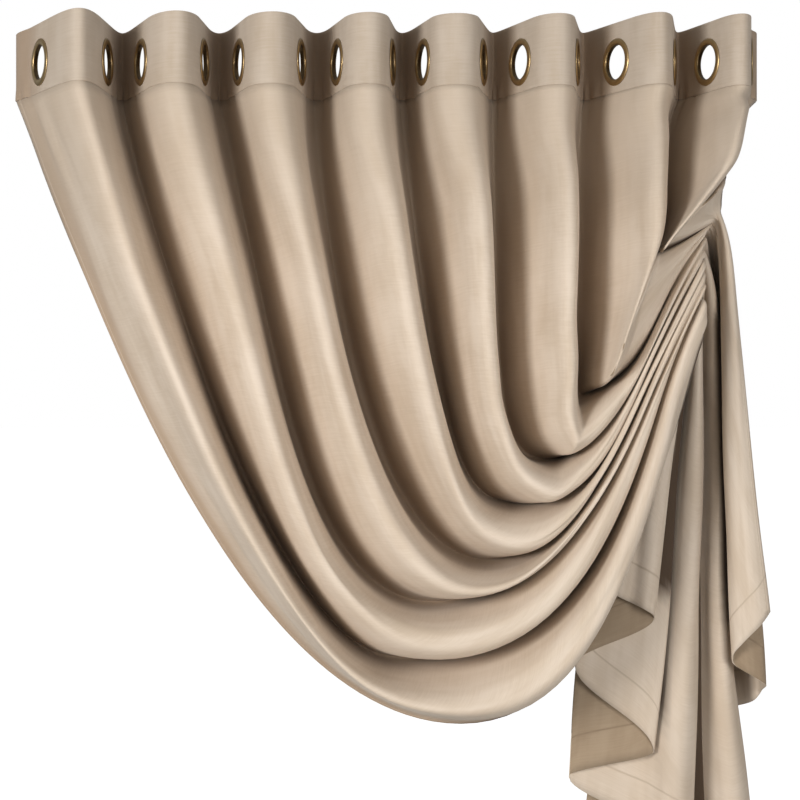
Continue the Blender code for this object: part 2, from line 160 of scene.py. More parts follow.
def bulge(a, wayA, b, wayB, depth, s):
    # a curve from a to b whose middle lies at the given depth
    reach = 8.0 * (depth - 0.5 * (a[1] + b[1])) / (wayA[1] - wayB[1])
    return hermite(a, wayA * reach, b, wayB * reach, s)


def headingPoint(u):
    # X and Y of the band at u folds from its left edge; the rings sit at a quarter and three quarters
    folds = heading["folds"]
    flat = heading["flatShare"]
    half = heading["flatHalf"]
    k = min(int(u), foldCount - 1)
    f = u - k
    row = folds[k]
    left = slopeWay(row, "left")
    right = slopeWay(row, "right")
    room = 0.5 - 2.0 * flat
    edgeRoom = 0.25 - flat
    edgeReach = heading["edgeReach"]
    if f < edgeRoom:
        end = slopePoint(row, "left", -half)
        if k == 0:
            turn = radians(heading["edgeTurn"])
            way = np.array([cos(turn), -sin(turn)])
            start = np.array(heading["leftEdge"])
            return hermite(start, way * edgeReach, end, left * edgeReach, f / edgeRoom)
        last = folds[k - 1]
        start = slopePoint(last, "right", half)
        return bulge(start, slopeWay(last, "right"), end, left, last[5], (f + edgeRoom) / room)
    if f <= 0.25 + flat:
        return slopePoint(row, "left", (f - 0.25) / flat * half)
    if f < 0.75 - flat:
        start = slopePoint(row, "left", half)
        end = slopePoint(row, "right", -half)
        return bulge(start, left, end, right, -row[4], (f - 0.25 - flat) / room)
    if f <= 0.75 + flat:
        return slopePoint(row, "right", (f - 0.75) / flat * half)
    start = slopePoint(row, "right", half)
    if k == foldCount - 1:
        end = np.array(heading["rightEdge"])
        return hermite(start, right * edgeReach, end, right * edgeReach, (f - 0.75 - flat) / edgeRoom)
    after = folds[k + 1]
    end = slopePoint(after, "left", -half)
    return bulge(start, right, end, slopeWay(after, "left"), row[5], (f - 0.75 - flat) / room)


def inValley(u, span):
    return easeBetween(np.cos(2.0 * pi * u), *span)


def puckers(u, down):
    # in the valleys the cloth is drawn into fine upright gathers along the seam
    reach = np.where(down > 0.0, heading["puckerDrop"], heading["puckerRise"])
    far, often = heading["puckerWander"]
    wave = np.sin(2.0 * pi * heading["puckersPerFold"] * u + far * np.sin(often * u))
    return heading["pucker"] * inValley(u, heading["puckerValley"]) * wave * np.exp(-(down / reach) ** 2)


# hanging cloth: the same folds as the solid, finely divided
cloth = {
    "thick": 0.0016,
    "flatWidth": 2.33,
    "flatLength": 1.60,
    "columns": 272,
    "swagRows": 112,
    "turnRows": 18,
    "tailRows": 38,
    "softenTimes": 3,
    "top": -0.0826,
    "lowestShare": 0.55,            # share of a swag's length at its lowest point
    "riseShare": 0.78,              # and at the point up the rise that each valley's row gives
    "curveSamples": 120,
    # one row per valley: lowest point X Z, slope in and out, reach before and after, pull below the
    # heading X Z, pull before the gather X Z, end X Z, share of the rise, wait
    "valleys": (
        (0.062, -0.828, -7.1, -7.1, 0.212, 0.207, 0.149, -0.375, -0.064, -0.168, 0.374, -0.376, 0.78, 1.0),
        (0.003, -0.757, -8.0, -2.0, 0.163, 0.285, -0.010, -0.008, -0.099, -0.169, 0.371, -0.327, 0.71, 1.0),
        (0.088, -0.686, 14.0, 11.0, 0.182, 0.157, 0.083, -0.371, -0.081, -0.141, 0.371, -0.312, 0.62, 1.0),
        (0.135, -0.639, 10.0, 8.0, 0.191, 0.105, -0.007, 0.003, -0.069, -0.113, 0.371, -0.299, 0.54, 1.0),
        (0.128, -0.567, -19.0, -14.0, 0.028, 0.128, 0.037, -0.442, -0.101, -0.173, 0.369, -0.288, 0.48, 1.0),
        (0.182, -0.519, -6.0, -6.0, 0.050, 0.086, 0.004, -0.356, -0.059, -0.084, 0.369, -0.2755, 0.33, 1.0),
        (0.228, -0.444, -80.0, 20.0, 0.030, 0.096, -0.005, -0.002, -0.071, -0.096, 0.371, -0.261, 0.30, 1.0),
        (0.318, -0.272, -104.0, -104.0, 0.08, 0.008, -0.036, -0.09, -0.024, -0.016, 0.377, -0.246, 0.1, 1.2),
        (0.406, -0.179, -110.5, -110.5, 0.025, 0.01, -0.036, -0.03, 0.01, 0.04, 0.390, -0.228, 0.4, 1.0),
    ),
    # along a swag: share of length, half depth, lean, breadth, forward swing, roundness
    "stations": (
        (0.00, 0.062, 0.14, 0.30, 0.000, 0.00),
        (0.12, 0.064, 0.24, 0.28, 0.006, 0.00),
        (0.30, 0.066, 0.28, 0.25, 0.028, 0.10),
        (0.46, 0.064, 0.22, 0.28, 0.044, 0.10),
        (0.53, 0.062, 0.02, 0.34, 0.048, 0.10),
        (0.60, 0.058, -0.20, 0.50, 0.050, 0.15),
        (0.72, 0.050, -0.04, 0.50, 0.048, 0.30),
        (0.86, 0.030, 0.04, 0.30, 0.040, 0.65),
        (0.94, 0.016, 0.00, 0.00, 0.036, 0.90),
        (1.00, 0.005, 0.00, 0.00, 0.032, 0.95),
    ),
    # tips of three inner folds drawn towards the gather: fold, shift X Z, start, peak, end, reach in folds
    "crestShifts": (
        (6.42, 0.010, -0.002, 0.30, 0.55, 0.72, 0.50),
        (4.50, 0.024, 0.000, 0.42, 0.57, 0.66, 0.50),
        (5.50, 0.013, 0.003, 0.38, 0.54, 0.63, 0.50),
    ),
    # the rising side turns into flat ribbons with narrow gaps
    "grooveSharpness": 1.6,
    "ribbonSpan": (0.54, 0.68),
    "ribbonShare": 0.85,
    # the last fold droops and lies flat in the gather
    "innerFold": 7.0,
    "innerDroop": -0.22,
    "innerDroopSpan": (0.46, 0.60, 0.86, 0.98),
    # the inner folds lose most of their depth on the rise
    "flatFold": 6.6,
    "flatFoldReach": 1.4,
    "flatFoldLeft": 0.25,
    "flatFoldSpan": (0.57, 0.73),
    "gatherSway": 0.002,
    "gatherStart": 0.80,
    "headingBlend": 0.17,       # share of a swag's length that comes out of the heading's line
    # the leading edge at the left lies flatter
    "leadingDepthLeft": 0.30,
    "leadingTuckRun": 0.30,
    "leadingWidth": 0.5,
    # the tail: fold number, X at four heights, Y at the top and the low height, hem Z
    "tailHeights": (-0.382, -0.571, -0.753, -0.936),
    "tailLines": (
        (0.0, 0.341, 0.303, 0.252, 0.243, 0.012, 0.010, -0.680),
        (0.5, 0.363, 0.336, 0.317, 0.304, 0.022, 0.020, -0.713),
        (1.0, 0.320, 0.267, 0.229, 0.209, 0.032, 0.034, -0.768),
        (1.5, 0.366, 0.350, 0.337, 0.315, 0.040, 0.044, -0.876),
        (2.0, 0.326, 0.266, 0.233, 0.219, 0.050, 0.056, -0.909),
        (2.5, 0.384, 0.384, 0.380, 0.375, 0.058, 0.066, -1.000),
        (3.0, 0.328, 0.285, 0.262, 0.245, 0.066, 0.076, -1.022),
        (3.5, 0.383, 0.386, 0.387, 0.392, 0.074, 0.084, -1.042),
        (4.0, 0.335, 0.300, 0.275, 0.262, 0.098, 0.114, -1.061),
        (4.5, 0.413, 0.420, 0.427, 0.449, 0.084, 0.096, -1.072),
        (5.0, 0.338, 0.300, 0.280, 0.270, 0.112, 0.130, -1.071),
        (5.5, 0.412, 0.420, 0.428, 0.440, 0.118, 0.140, -1.041),
        (6.0, 0.345, 0.320, 0.305, 0.300, 0.130, 0.154, -0.981),
        (6.5, 0.420, 0.428, 0.435, 0.444, 0.124, 0.146, -0.837),
        (7.0, 0.431, 0.444, 0.460, 0.470, 0.062, 0.072, -0.800),
        (7.5, 0.404, 0.409, 0.418, 0.429, 0.038, 0.046, -0.764),
        (8.0, 0.426, 0.446, 0.467, 0.479, 0.026, 0.032, -0.704),
    ),
    # pleats that show: right edge, layer in front, gap to it, how far it stands out
    "pleats": (
        (0.5, 0.5, -0.028, 0.012),
        (2.5, 1.5, 0.003, 0.026),
        (4.5, 3.5, 0.004, 0.036),
        (8.0, 7.5, 0.000, 0.012),
    ),
    "pleatStart": 0.15,
    "pleatFullness": 0.8,
    # painted shadows beside the edge of the layer in front: folds of the layer behind, fold of that edge,
    # where the shadow starts from it and how fast it grows to the right (or to the left), lowest Z
    "tailShadows": (
        (1.0, 1.5, 0.5, -0.002, 0.004, -0.700),
        (2.0, 2.5, 1.5, 0.009, -0.006, -0.880),
        (3.0, 3.5, 2.5, -0.003, 0.004, -1.100),
        (4.0, 4.5, 7.5, -0.005, 0.004, -0.740),
    ),
    "shadowFade": 0.030,
    "tailRound": 0.80,
    # between swags and tail the cloth turns over the gather
    "shoulders": (-0.405, -0.335),
    "shoulderStep": 0.01,
    "lastSwag": 0.99,       # share of a swag's length from which its last direction is read
    "turnReach": 0.020,
    "turnEase": 0.60,
    "turnKeep": 0.20,
    "turnOver": (0.00, 0.60, 0.80),
    "turnDown": (0.45, 0.00, -0.90),
    "downFrom": 7.2,
    # creases: start and end as fold number and metres below the heading, half width, height
    "creases": (
        (0.10, 0.000, 0.13, 0.110, 0.006, -0.0016),
        (0.17, 0.000, 0.21, 0.140, 0.007, 0.0018),
        (0.26, 0.005, 0.29, 0.120, 0.006, -0.0016),
        (0.36, 0.000, 0.37, 0.075, 0.005, 0.0012),
        (0.70, 0.020, 0.62, 0.300, 0.012, -0.0022),
        (1.25, 0.030, 1.32, 0.260, 0.010, 0.0018),
        (1.62, 0.450, 1.45, 0.980, 0.013, -0.0030),
        (2.30, 0.060, 2.36, 0.380, 0.011, -0.0020),
        (2.42, 0.700, 2.60, 1.020, 0.012, -0.0028),
        (3.35, 0.080, 3.30, 0.420, 0.010, 0.0018),
        (3.55, 0.480, 3.36, 0.800, 0.012, -0.0026),
        (4.28, 0.040, 4.36, 0.300, 0.011, -0.0020),
        (4.62, 0.300, 4.40, 0.560, 0.012, 0.0024),
        (5.30, 0.050, 5.35, 0.330, 0.010, -0.0020),
        (6.28, 0.060, 6.42, 0.280, 0.011, -0.0022),
        (7.22, 0.010, 7.36, 0.150, 0.010, -0.0022),
        (7.55, 0.020, 7.40, 0.190, 0.009, 0.0018),
        (0.28, 0.350, 0.34, 1.150, 0.012, 0.0028),
        (0.60, 0.900, 0.42, 1.250, 0.012, -0.0026),
    ),
    "creaseEnds": (0.25, 0.35),
    # the unevenness of real cloth: waves per fold or per metre, how far they wander and how often;
    # then the finer ones, with an offset
    "undulation": 0.0016,
    "undulationFade": 0.10,
    "broadAcross": (9.0, 3.0, 4.1),
    "broadDown": (11.0, 2.3, 1.7),
    "fineAcross": (23.0, 7.0, 1.3),
    "fineDown": (-4.0, 6.0),
    "fineShare": 0.6,
    # where the painted shade lies in valleys and gaps: the wave's cosine or sine where it starts and
    # is full, then the shares of a swag's length between which it comes or goes
    "valleyShadeSpan": (0.05, 1.00),
    "valleyShadeGone": (0.75, 0.60),
    "gapShadowWidth": (0.30, 0.08),
    "gapShadowComes": (0.52, 0.62),
    "gapShadowGoes": (1.04, 0.98),
    "hemDepth": 0.045,
    "sideHem": 0.013,
}


def cubic(a, b, c, d):
    s = np.linspace(0.0, 1.0, cloth["curveSamples"])[:, None]
    return (1 - s) ** 3 * a + 3 * (1 - s) ** 2 * s * b + 3 * (1 - s) * s * s * c + s ** 3 * d


def byLength(points, share):
    steps = np.hypot(*np.diff(points, axis=0).T)
    run = np.concatenate([[0.0], np.cumsum(steps)])
    want = share * run[-1]
    return np.array([np.interp(want, run, points[:, 0]), np.interp(want, run, points[:, 1])])


def swagCurves():
    curves = []
    for k, row in enumerate(cloth["valleys"]):
        lowX, lowZ, slopeIn, slopeOut, before, after, pullX, pullZ, *gather = row
        endPullX, endPullZ, endX, endZ, rise, late = gather
        start = np.array([headingPoint(float(k))[0], cloth["top"]])
        low = np.array([lowX, lowZ])
        wayIn = np.array([cos(radians(slopeIn)), sin(radians(slopeIn))])
        wayOut = np.array([cos(radians(slopeOut)), sin(radians(slopeOut))])
        end = np.array([endX, endZ])
        down = cubic(start, start + (pullX, pullZ), low - wayIn * before, low)
        up = cubic(low, low + wayOut * after, end + (endPullX, endPullZ), end)
        curves.append((down, up, rise, late))
    return curves


def valleysAt(curves, t):
    # X and Z of each valley at the share t of its length
    lowest = cloth["lowestShare"]
    side = cloth["riseShare"]
    points = []
    for down, up, rise, late in curves:
        if t <= lowest:
            points.append(byLength(down, t / lowest))
        elif t < side:
            points.append(byLength(up, rise * (t - lowest) / (side - lowest)))
        else:
            points.append(byLength(up, rise + (1.0 - rise) * ((t - side) / (1.0 - side)) ** late))
    return np.array(points)


def waysAlong(points):
    steps = np.diff(points, axis=0)
    sizes = np.linalg.norm(steps, axis=1)[:, None]
    inner = (steps[:-1] * sizes[1:] + steps[1:] * sizes[:-1]) / (sizes[:-1] + sizes[1:])
    return np.concatenate([steps[:1], inner, steps[-1:]])


def across(points, q):
    ways = waysAlong(points)
    i = np.clip(q.astype(int), 0, len(points) - 2)
    f = (q - i)[:, None]
    return hermite(points[i], ways[i], points[i + 1], ways[i + 1], f)


def crestShift(u, t):
    shift = np.zeros((len(u), 2))
    for fold, shiftX, shiftZ, start, peak, stop, reach in cloth["crestShifts"]:
        along = easeBetween(t, start, peak) * easeBetween(t, stop, peak)
        shift += (along * ease(1.0 - np.abs(u - fold) / reach))[:, None] * np.array([shiftX, shiftZ])
    return shift


def swagRow(tops, lines, u, head, t):
    # the whole width of the cloth at the share t of the way from heading to gather
    table = cloth["stations"]
    stations = [row[0] for row in table]
    values = np.array([row[1:] for row in table])
    halfDepth, lean, breadth, swing, roundness = smoothTable(stations, values, t)
    near = ease(1.0 - np.abs(u - cloth["flatFold"]) / cloth["flatFoldReach"])
    near = near * easeBetween(t, *cloth["flatFoldSpan"])
    kept = 1.0 - (1.0 - cloth["flatFoldLeft"]) * near
    halfDepth, lean, breadth, roundness = (value * kept for value in (halfDepth, lean, breadth, roundness))
    comes, full, leaves, gone = cloth["innerDroopSpan"]
    droop = easeBetween(t, comes, full) * easeBetween(t, gone, leaves)
    lean = lean + np.where(u > cloth["innerFold"], cloth["innerDroop"] * droop, 0.0)
    gather = easeBetween(t, cloth["gatherStart"], 1.0)
    flat = ease(u - cloth["innerFold"]) * gather
    halfDepth = halfDepth * (1.0 - flat)
    roundness = roundness * (1.0 - flat)
    # share is the place between the valley lines
    turn = 2.0 * pi * u
    share = u - breadth * np.sin(turn) / (2.0 * pi) + lean * (1.0 - np.cos(turn)) / 2.0
    share = share + roundness * np.sin(2.0 * turn) / (4.0 * pi)
    place = across(lines, share) + crestShift(u, t)
    sway = cloth["gatherSway"] * kept * gather * (1.0 - ease(2.0 * (u - cloth["innerFold"])))
    x = place[:, 0] - sway * np.cos(turn)
    z = place[:, 1]
    # forward and back: rounded on the way down, ribbons with narrow gaps on the rise
    leading = np.where(u < cloth["leadingWidth"], 1.0 - ease(u / cloth["leadingWidth"]), 0.0)
    tuck = 1.0 - (1.0 - cloth["leadingDepthLeft"]) * ease(t / cloth["leadingTuckRun"]) * leading
    groove = 2.0 * (1.0 - np.abs(np.sin(pi * u))) ** cloth["grooveSharpness"] - 1.0
    ribbon = cloth["ribbonShare"] * easeBetween(t, *cloth["ribbonSpan"])
    y = -swing + halfDepth * ((1.0 - ribbon) * np.cos(turn) + ribbon * groove) * tuck
    # at the top the folds are still those of the heading
    blend = ease(t / cloth["headingBlend"])
    drift = across(lines, u)[:, 0] - across(tops, u)[:, 0]
    x = x * blend + (head[:, 0] + drift) * (1.0 - blend)
    y = y * blend + head[:, 1] * (1.0 - blend)
    return np.stack([x, y, z], axis=1)


def tailX(fold, z):
    # X of one half fold's line in the tail at each height
    row = next(row for row in cloth["tailLines"] if row[0] == fold)
    down = [-height for height in cloth["tailHeights"]]
    return smoothTable(down, np.repeat(np.array(row[1:5])[:, None], len(z), axis=1), -z)


def tailRow(u, z):
    table = cloth["tailLines"]
    folds = [row[0] for row in table]
    heights = cloth["tailHeights"]
    share = (heights[0] - z) / (heights[0] - heights[-1])
    xs = np.array([tailX(fold, z) for fold in folds])
    ys = np.array([row[5] + (row[6] - row[5]) * share for row in table])
    roundU = u + cloth["tailRound"] * np.sin(4.0 * pi * u) / (4.0 * pi)
    x = smoothTable(folds, xs, u)
    y = smoothTable(folds, ys, roundU)
    # the pleats that show are round: each stands forward from where it leaves the layer in front of it
    for edge, front, gap, out in cloth["pleats"]:
        far = xs[folds.index(edge)]
        near = xs[folds.index(front)] + gap
        s = np.clip((x - near) / (far - near), 0.0, 1.0)
        first = edge - 0.5
        shown = (u > first) & (u <= edge)
        stand = out * ease((u - first) / cloth["pleatStart"]) * np.sin(pi * s) ** cloth["pleatFullness"]
        y = y - np.where(shown, stand, 0.0)
    return np.stack([x, y, z], axis=1)


def unit(v):
    return v / np.linalg.norm(v, axis=-1, keepdims=True)


def clothRows(u):
    curves = swagCurves()
    head = np.array([headingPoint(float(v)) for v in u])
    tops = valleysAt(curves, 0.0)
    rows = []
    for r in range(cloth["swagRows"] + 1):
        t = r / cloth["swagRows"]
        rows.append(swagRow(tops, valleysAt(curves, t), u, head, t))
    end = rows[-1]
    before = swagRow(tops, valleysAt(curves, cloth["lastSwag"]), u, head, cloth["lastSwag"])
    way = cloth["turnKeep"] * unit(end - before) + (1.0 - cloth["turnKeep"]) * np.array(cloth["turnOver"])
    down = easeBetween(u, cloth["downFrom"], foldCount)[:, None]
    way = unit((1.0 - down) * way + down * np.array(cloth["turnDown"]))
    left, right = cloth["shoulders"]
    shoulder = left + (right - left) * u / foldCount
    start = tailRow(u, shoulder)
    fall = unit(tailRow(u, shoulder - cloth["shoulderStep"]) - start)
    reach = cloth["turnReach"] + cloth["turnEase"] * np.linalg.norm(start - end, axis=1)[:, None]
    for r in range(1, cloth["turnRows"]):
        rows.append(hermite(end, way * reach, start, fall * reach, r / cloth["turnRows"]))
    hem = np.interp(u, [row[0] for row in cloth["tailLines"]], [row[7] for row in cloth["tailLines"]])
    for r in range(cloth["tailRows"] + 1):
        rows.append(tailRow(u, shoulder + (hem - shoulder) * r / cloth["tailRows"]))
    return np.array(rows)


def gridNormals(points):
    alongRows = np.gradient(points, axis=0)
    alongCols = np.gradient(points, axis=1)
    return unit(np.cross(alongRows, alongCols))


def runDown(points):
    steps = np.linalg.norm(np.diff(points, axis=0), axis=2)
    return np.concatenate([np.zeros((1, points.shape[1])), np.cumsum(steps, axis=0)])


def softenDown(points, times):
    # evens out the joins between heading, swag, turn and tail; the first and last rows stay
    for _ in range(times):
        inner = (points[:-2] + 2.0 * points[1:-1] + points[2:]) / 4.0
        points = np.concatenate([points[:1], inner, points[-1:]])
    return points


def sheetObject(name, points, mapU, mapV, marks):
    rows, cols = points.shape[:2]
    index = np.arange(rows * cols).reshape(rows, cols)
    a = index[:-1, :-1]
    faces = np.stack([a, index[1:, :-1], index[1:, 1:], index[:-1, 1:]], axis=-1).reshape(-1, 4)
    mesh = bpy.data.meshes.new(name)
    mesh.from_pydata(points.reshape(-1, 3).tolist(), [], faces.tolist())
    uv = mesh.uv_layers.new(name="clothMap")
    flat = np.stack([mapU, mapV], axis=-1).reshape(-1, 2)
    corners = np.zeros(len(mesh.loops), np.int32)
    mesh.loops.foreach_get("vertex_index", corners)
    uv.data.foreach_set("uv", flat[corners].astype(np.float32).ravel())
    for label, values in marks.items():
        layer = mesh.attributes.new(label, "FLOAT", "POINT")
        layer.data.foreach_set("value", values.astype(np.float32).ravel())
    mesh.shade_smooth()
    obj = bpy.data.objects.new(name, mesh)
    bpy.context.scene.collection.objects.link(obj)
    return obj


def thicken(obj, thick):
    shell = obj.modifiers.new("thickness", "SOLIDIFY")
    shell.thickness = thick
    shell.offset = 0.0
    shell.use_even_offset = False
    shell.use_quality_normals = True
    return shell


def shareAlong(wide):
    # share of the swag's length for each row of the grid; more than 1 beyond the gather
    return np.arange(wide.shape[0])[:, None] / cloth["swagRows"]


def paintedValleyShade(wide):
    # painted shade: 1 in the valleys of the swags, 0 on the crests and in the tail
    return inValley(wide, cloth["valleyShadeSpan"]) * easeBetween(shareAlong(wide), *cloth["valleyShadeGone"])


def paintedGapShadow(wide):
    # painted shadow: 1 in the narrow gaps between the ribbons that rise to the gather
    share = shareAlong(wide)
    gap = easeBetween(np.abs(np.sin(pi * wide)), *cloth["gapShadowWidth"])
    return gap * easeBetween(share, *cloth["gapShadowComes"]) * easeBetween(share, *cloth["gapShadowGoes"])


def tailPaintedShadow(points, u):
    # painted shadow: 1 in the narrow gaps beside the edges of the tail layers
    dark = np.zeros(points.shape[:2])
    for r in range(cloth["swagRows"] + cloth["turnRows"] // 2, len(points)):
        x, z = points[r, :, 0], points[r, :, 2]
        for low, high, edge, start, run, lowest in cloth["tailShadows"]:
            behind = (u > low) & (u <= high)
            above = ease((z - lowest) / cloth["shadowFade"])
            dark[r] += np.where(behind, above * ease((x - tailX(edge, z) - start) / run), 0.0)
    return np.minimum(dark, 1.0)


def creaseHeight(flat, run):
    # soft troughs and ridges along straight lines on the cloth as it lies flat, fading out at both ends
    height = np.zeros(flat.shape)
    fold = cloth["flatWidth"] / foldCount
    fadeIn, fadeOut = cloth["creaseEnds"]
    for fromU, fromV, toU, toV, half, size in cloth["creases"]:
        start = np.array([fromU * fold, fromV])
        way = np.array([toU * fold, toV]) - start
        length = np.linalg.norm(way)
        along = ((flat - start[0]) * way[0] + (run - start[1]) * way[1]) / length ** 2
        aside = ((flat - start[0]) * way[1] - (run - start[1]) * way[0]) / length
        ends = ease(along / fadeIn) * ease((1.0 - along) / fadeOut)
        height += size * np.exp(-(aside / half) ** 2) * ends
    return height


def undulation(wide, run):
    # broad dents that wander across each other, with finer slanting ones over them
    waves, wander, often = cloth["broadAcross"]
    broad = np.sin(waves * wide + wander * np.sin(often * run))
    waves, wander, often = cloth["broadDown"]
    broad = broad * np.sin(waves * run + wander * np.sin(often * wide))
    perFold, perMetre, offset = cloth["fineAcross"]
    fine = np.sin(perFold * wide + perMetre * run + offset)
    perFold, perMetre = cloth["fineDown"]
    fine = fine * np.sin(perFold * wide + perMetre * run)
    return cloth["undulation"] * (broad + cloth["fineShare"] * fine) * ease(run / cloth["undulationFade"])


def makeCurtain():
    u = np.linspace(0.0, foldCount, cloth["columns"] + 1)
    points = softenDown(clothRows(u), cloth["softenTimes"])
    normals = gridNormals(points)
    run = runDown(points)
    wide = np.broadcast_to(u, run.shape)
    flat = wide * cloth["flatWidth"] / foldCount
    push = undulation(wide, run) + puckers(wide, run) + creaseHeight(flat, run)
    points = points + normals * push[..., None]
    marks = {
        "hemUp": run[-1] - run,
        "sideIn": np.minimum(flat, cloth["flatWidth"] - flat),
        "seamDown": run,
        # painted shade in the valleys
        "paintedValleyShade": paintedValleyShade(wide),
        # painted shadow in the gaps between ribbons and beside the tail layers
        "paintedGapShadow": np.maximum(paintedGapShadow(wide), tailPaintedShadow(points, u)),
    }
    obj = sheetObject("curtainVelvet", points, flat, run, marks)
    shell = thicken(obj, cloth["thick"])
    shell.material_offset = 1
    shell.material_offset_rim = 0
    return obj


# materials
def newMaterial(name):
    mat = bpy.data.materials.new(name)
    mat.use_nodes = True
    return mat, mat.node_tree, mat.node_tree.nodes["Principled BSDF"]


def addNode(tree, kind, links=None, **settings):
    node = tree.nodes.new(kind)
    for key, value in settings.items():
        if key in node.inputs:
            node.inputs[key].default_value = value
        else:
            setattr(node, key, value)
    for key, source in (links or {}).items():
        tree.links.new(source, node.inputs[key])
    return node


def maths(tree, operation, a, b=0.0):
    node = tree.nodes.new("ShaderNodeMath")
    node.operation = operation
    for slot, value in zip(node.inputs, (a, b)):
        if isinstance(value, (int, float)):
            slot.default_value = value
        else:
            tree.links.new(value, slot)
    return node.outputs[0]


def mixColours(tree, share, a, b):
    node = tree.nodes.new("ShaderNodeMix")
    node.data_type = "RGBA"
    colours = [s for s in node.inputs if s.type == "RGBA"]
    tree.links.new(share, node.inputs[0])
    for slot, value in zip(colours, (a, b)):
        if isinstance(value, tuple):
            slot.default_value = (*value, 1.0)
        else:
            tree.links.new(value, slot)
    return [s for s in node.outputs if s.type == "RGBA"][0]


def attribute(tree, name):
    return addNode(tree, "ShaderNodeAttribute", attribute_name=name).outputs["Fac"]


def scaled(tree, value, factor):
    return maths(tree, "MULTIPLY", value, factor)


def tinted(colour, factor):
    return tuple(c * factor for c in colour)


def ramp(tree, value, low, high):
    node = tree.nodes.new("ShaderNodeMapRange")
    node.interpolation_type = "SMOOTHSTEP"
    node.inputs["From Min"].default_value = low
    node.inputs["From Max"].default_value = high
    tree.links.new(value, node.inputs["Value"])
    return node.outputs["Result"]


def stretched(tree, vector, scale):
    node = tree.nodes.new("ShaderNodeMapping")
    node.inputs["Scale"].default_value = scale
    tree.links.new(vector, node.inputs["Vector"])
    return node.outputs["Vector"]


def noise(tree, vector, scale, detail, rough):
    node = tree.nodes.new("ShaderNodeTexNoise")
    node.inputs["Scale"].default_value = scale
    node.inputs["Detail"].default_value = detail
    node.inputs["Roughness"].default_value = rough
    tree.links.new(vector, node.inputs["Vector"])
    return node.outputs["Fac"]


velvet = {
    "light": (0.710, 0.605, 0.495),
    "deep": (0.595, 0.485, 0.372),
    # painted shade colour for the valleys
    "valley": (0.330, 0.225, 0.145),
    # painted shadow colour for the narrow gaps
    "gap": (0.055, 0.032, 0.018),
    "backLight": (0.400, 0.305, 0.210),
    "backDeep": (0.320, 0.235, 0.155),
    "roughness": 0.88,
    "sheen": 0.20,
    "sheenRoughness": 0.45,
    "sheenTint": (1.0, 0.93, 0.84),
    "specular": 0.15,
    "valleyShadeShare": 0.70,
    "gapShadowShare": 0.95,
    "headingShadeTone": 0.77,       # painted shade: tone of the heading and of the cloth close under it
    "shadeStart": 0.45,
    "shadeRun": 0.26,
    # noise over the cloth: stretch, scale, detail, roughness
    "clouds": ((1.0, 0.6, 1.0), 16.0, 4.0, 0.55),
    "streaks": ((1.0, 0.12, 1.0), 55.0, 3.0, 0.5),
    "threads": ((0.05, 1.0, 1.0), 520.0, 2.0, 0.6),
    "warp": ((1.0, 0.05, 1.0), 600.0, 2.0, 0.6),
    "pile": ((1.0, 1.0, 1.0), 900.0, 2.0, 0.7),
    "cloudShare": 0.50,
    "streakShare": 0.30,
    "threadShare": 0.20,
    "brushedRange": (0.36, 0.66),
    "pileBump": 0.25,
    "threadBump": 0.12,
    "stitchDepth": 0.6,
    "stitchWidth": 0.0022,
    "stitchTone": 0.90,
    "bumpStrength": 0.35,
    "bumpDistance": 0.0012,
}


